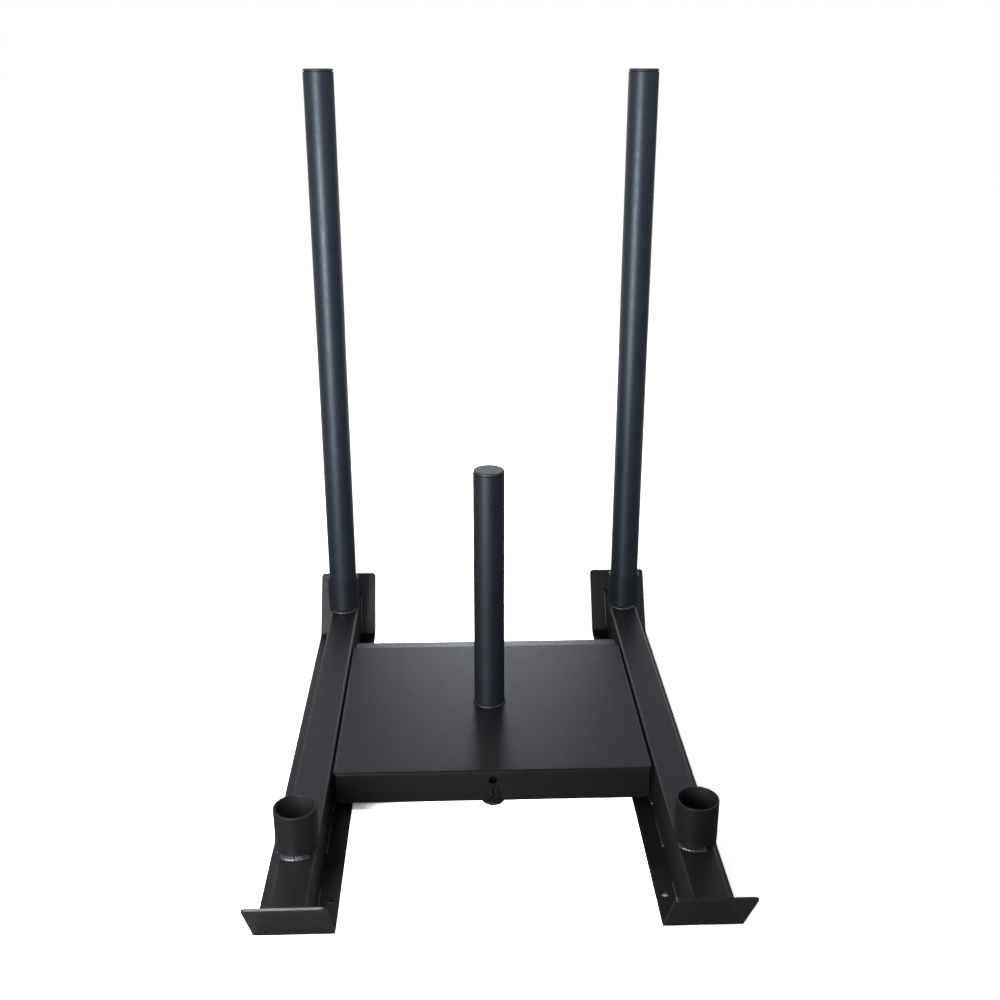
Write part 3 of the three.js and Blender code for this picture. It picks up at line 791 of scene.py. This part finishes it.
# Studio
# Plain white floor that keeps the sled's soft shadow, and a white surround that darkens overhead.
# Soft lamps in front, behind, at either side and over the left tips, and the photograph's camera.
FLOOR_HALF = 60
FLOOR_DROP = 0.2 * MM
bm = bmesh.new()
bmesh.ops.create_grid(bm, x_segments=1, y_segments=1, size=FLOOR_HALF)
bmesh.ops.translate(bm, verts=bm.verts, vec=(0, 0, -FLOOR_DROP))
floor = piece(bm, "floor")
material, tree = blank_material("white_floor")
ray = add(tree, "ShaderNodeLightPath")
# What the sled's gloss sees of the paper is painted: painted shade close by, painted light behind and painted
# shade at the right
spot = add(tree, "ShaderNodeTexCoord").outputs["Object"]
axes = add(tree, "ShaderNodeSeparateXYZ", None, {"Vector": spot})
reach = add(tree, "ShaderNodeVectorMath", None, {0: spot}, operation="LENGTH")
tone = add(
    tree, "ShaderNodeMapRange", {"From Min": 0.8, "From Max": 1.5, "To Min": 0.1, "To Max": 0.5},
    {"Value": reach.outputs["Value"]},
)
swept = add(
    tree, "ShaderNodeMapRange", {"From Min": 0.7, "From Max": 1.6, "To Min": 0, "To Max": 1.2},
    {"Value": axes.outputs["Y"]},
)
whole = add(
    tree, "ShaderNodeMath", None, {0: tone.outputs["Result"], 1: swept.outputs["Result"]},
    operation="ADD",
)
dim = add(
    tree, "ShaderNodeMapRange", {"From Min": 0.9, "From Max": 2.5, "To Min": 1, "To Max": 0.3},
    {"Value": axes.outputs["X"]},
)
drawn = add(
    tree, "ShaderNodeMath", None, {0: whole.outputs["Value"], 1: dim.outputs["Result"]},
    operation="MULTIPLY",
)
paper = add(tree, "ShaderNodeBsdfDiffuse", None, {"Color": drawn.outputs["Value"]})
# Seen straight, the paper is drawn paler than it is, so that it meets the white surround, and most of all
# between the skis, as painted light that clears the shadow under the tray. Under them, where it shows only
# through their holes, it stays grey as a painted shadow, darker at the left where the left tube also blocks
# the lamp
wide = add(tree, "ShaderNodeMath", None, {0: axes.outputs["X"]}, operation="ABSOLUTE")
strip = add(
    tree, "ShaderNodeMath", {1: SKI_X, 2: SKI_WIDTH / 2 - 2 * MM}, {0: wide.outputs["Value"]},
    operation="COMPARE",
)
stretch = add(
    tree, "ShaderNodeMath", {1: 0, 2: SKI_FLAT / 2 - 20 * MM}, {0: axes.outputs["Y"]},
    operation="COMPARE",
)
under = add(
    tree, "ShaderNodeMath", None, {0: strip.outputs["Value"], 1: stretch.outputs["Value"]},
    operation="MULTIPLY",
)
shade = add(
    tree, "ShaderNodeMapRange", {"From Min": -0.2, "From Max": 0.2, "To Min": 0.08, "To Max": 0.45},
    {"Value": axes.outputs["X"]},
)
between = add(
    tree, "ShaderNodeMath", {1: SKI_X - SKI_WIDTH / 2}, {0: wide.outputs["Value"]},
    operation="LESS_THAN",
)
lift = add(tree, "ShaderNodeMapRange", {"To Min": 2.25, "To Max": 6}, {"Value": between.outputs["Value"]})
pale = add(
    tree, "ShaderNodeMix", None,
    {0: under.outputs["Value"], 2: lift.outputs["Result"], 3: shade.outputs["Result"]},
    data_type="FLOAT",
)
seen = add(tree, "ShaderNodeBsdfDiffuse", None, {"Color": pale.outputs[0]})
mix = add(
    tree, "ShaderNodeMixShader", None,
    {0: ray.outputs["Is Camera Ray"], 1: paper.outputs["BSDF"], 2: seen.outputs["BSDF"]},
)
add(tree, "ShaderNodeOutputMaterial", None, {"Surface": mix.outputs["Shader"]})
floor.data.materials.append(material)

SURROUND_TINT = (0.96, 0.98, 1.08)
AMBIENT = 0.45
world = bpy.data.worlds.new("studio")
bpy.context.scene.world = world
world.use_nodes = True
world.node_tree.nodes.clear()
tree = world.node_tree
ray = add(tree, "ShaderNodeLightPath")
sight = add(tree, "ShaderNodeTexCoord").outputs["Generated"]
way = add(tree, "ShaderNodeSeparateXYZ", None, {"Vector": sight})


def surround(stops):
    """Brightness of the surround from the horizon up, smooth between its stops of height and value."""
    ramp = add(tree, "ShaderNodeValToRGB", None, {"Fac": way.outputs["Z"]})
    ramp.color_ramp.interpolation = "EASE"
    kept = ramp.color_ramp.elements
    kept.remove(kept[1])
    kept[0].position = stops[0][0]
    for height, value in stops:
        stop = kept[0] if height == stops[0][0] else kept.new(height)
        stop.color = (*(value * part for part in SURROUND_TINT), 1)
    return ramp.outputs["Color"]


behind = surround(((0.01, 0.9), (0.28, 0.9), (0.34, 1.5), (0.42, 1.5), (0.5, 0.05), (0.9, 0.0)))
ahead = surround(((0.01, 1.1), (0.36, 1.2), (0.46, 0.9), (0.74, 0.95), (0.84, 0.05), (0.9, 0.0)))
# The white surround behind the sled is no wider than the picture needs
aside = add(tree, "ShaderNodeMath", None, {0: way.outputs["X"]}, operation="ABSOLUTE")
screen = add(
    tree, "ShaderNodeMapRange", {"From Min": 0.42, "From Max": 0.6, "To Min": 1, "To Max": 0.3},
    {"Value": aside.outputs["Value"]},
)
narrow = add(
    tree, "ShaderNodeVectorMath", None, {0: behind, "Scale": screen.outputs["Result"]}, operation="SCALE",
)
facing = add(tree, "ShaderNodeMapRange", {"From Min": -0.15, "From Max": 0.15}, {"Value": way.outputs["Y"]})
glow = add(
    tree, "ShaderNodeMix", None, {0: facing.outputs["Result"], 6: ahead, 7: narrow.outputs["Vector"]},
    data_type="RGBA",
)
# Gloss sees the shaded surround, the camera sees plain white, and the rest is an even weak light
around = add(tree, "ShaderNodeBackground", {"Strength": 1.0}, {"Color": glow.outputs[2]})
ambient = add(tree, "ShaderNodeBackground", {"Color": (1, 1, 1, 1), "Strength": AMBIENT})
white = add(tree, "ShaderNodeBackground", {"Color": (1, 1, 1, 1), "Strength": 1.0})
glossy = add(
    tree, "ShaderNodeMixShader", None,
    {0: ray.outputs["Is Glossy Ray"], 1: ambient.outputs["Background"], 2: around.outputs["Background"]},
)
shown = add(
    tree, "ShaderNodeMixShader", None,
    {0: ray.outputs["Is Camera Ray"], 1: glossy.outputs["Shader"], 2: white.outputs["Background"]},
)
add(tree, "ShaderNodeOutputWorld", None, {"Surface": shown.outputs["Shader"]})

NEUTRAL = (1, 1, 1)
COOL = (0.9, 0.94, 1.0)


def softbox(name, place, aim, width, height, power, tint=NEUTRAL, spread=180):
    """A soft rectangular lamp that points at a place, with its beam's full angle in degrees."""
    lamp = bpy.data.lights.new(name, "AREA")
    lamp.shape = "RECTANGLE"
    lamp.size = width
    lamp.size_y = height
    lamp.energy = power
    lamp.color = tint
    lamp.spread = math.radians(spread)
    obj = bpy.data.objects.new(name, lamp)
    obj.location = place
    obj.rotation_euler = (Vector(aim) - Vector(place)).to_track_quat("-Z", "Y").to_euler()
    obj.visible_camera = False
    bpy.context.scene.collection.objects.link(obj)


# The tall lamp draws the poles' highlight, and the rear ones the deck's sheen
softbox("tall_softbox", (-0.78, -1.33, 0.59), (-0.05, 0.4, 0.59), 0.65, 0.88, 41)
softbox("rear_softbox", (0.08, 3.1, 1.3), (0.02, 0.2, 0.1), 0.55, 0.7, 4.8, COOL)
softbox("rear_low_softbox", (0.04, 3.1, 0.5), (0.02, 0.2, 0.1), 0.6, 0.4, 4.0, COOL)
softbox("rear_left_softbox", (-1.0, 1.9, 1.1), (-0.23, 0.0, 0.07), 0.6, 0.5, 1.6, COOL)
softbox("rear_right_softbox", (1.2, 1.85, 0.5), (0.29, 0.1, 0.07), 0.5, 0.5, 1.6, COOL)
# High side lamps fill the tubes, and two weak narrow ones lift the left ski's tips
softbox("left_side_softbox", (-1.2, 0.2, 2.0), (0, 0.1, 0.1), 0.8, 0.8, 6)
softbox("right_side_softbox", (1.2, 0.2, 2.0), (0, 0.1, 0.1), 0.8, 0.8, 6)
softbox("front_tip_softbox", (-0.5, -0.9, 1.35), (-0.27, -0.47, 0.095), 0.3, 0.3, 1.1, spread=40)
softbox("rear_tip_softbox", (-0.5, -0.4, 0.95), (-0.32, 0.52, 0.08), 0.25, 0.25, 0.1, spread=40)

# Camera where the photograph was taken from: its place, turn and lens were solved from measured points
camera = bpy.data.cameras.new("camera")
camera.lens = 43.087
camera.sensor_width = 36
camera.shift_x = 0.0018
camera.shift_y = 0.0005
view = bpy.data.objects.new("camera", camera)
view.location = (-0.04564, -1.66772, 1.0568)
view.rotation_euler = (math.radians(69.497), 0, math.radians(-2.0097))
bpy.context.scene.collection.objects.link(view)
bpy.context.scene.camera = view
bpy.context.scene.view_settings.view_transform = "Standard"
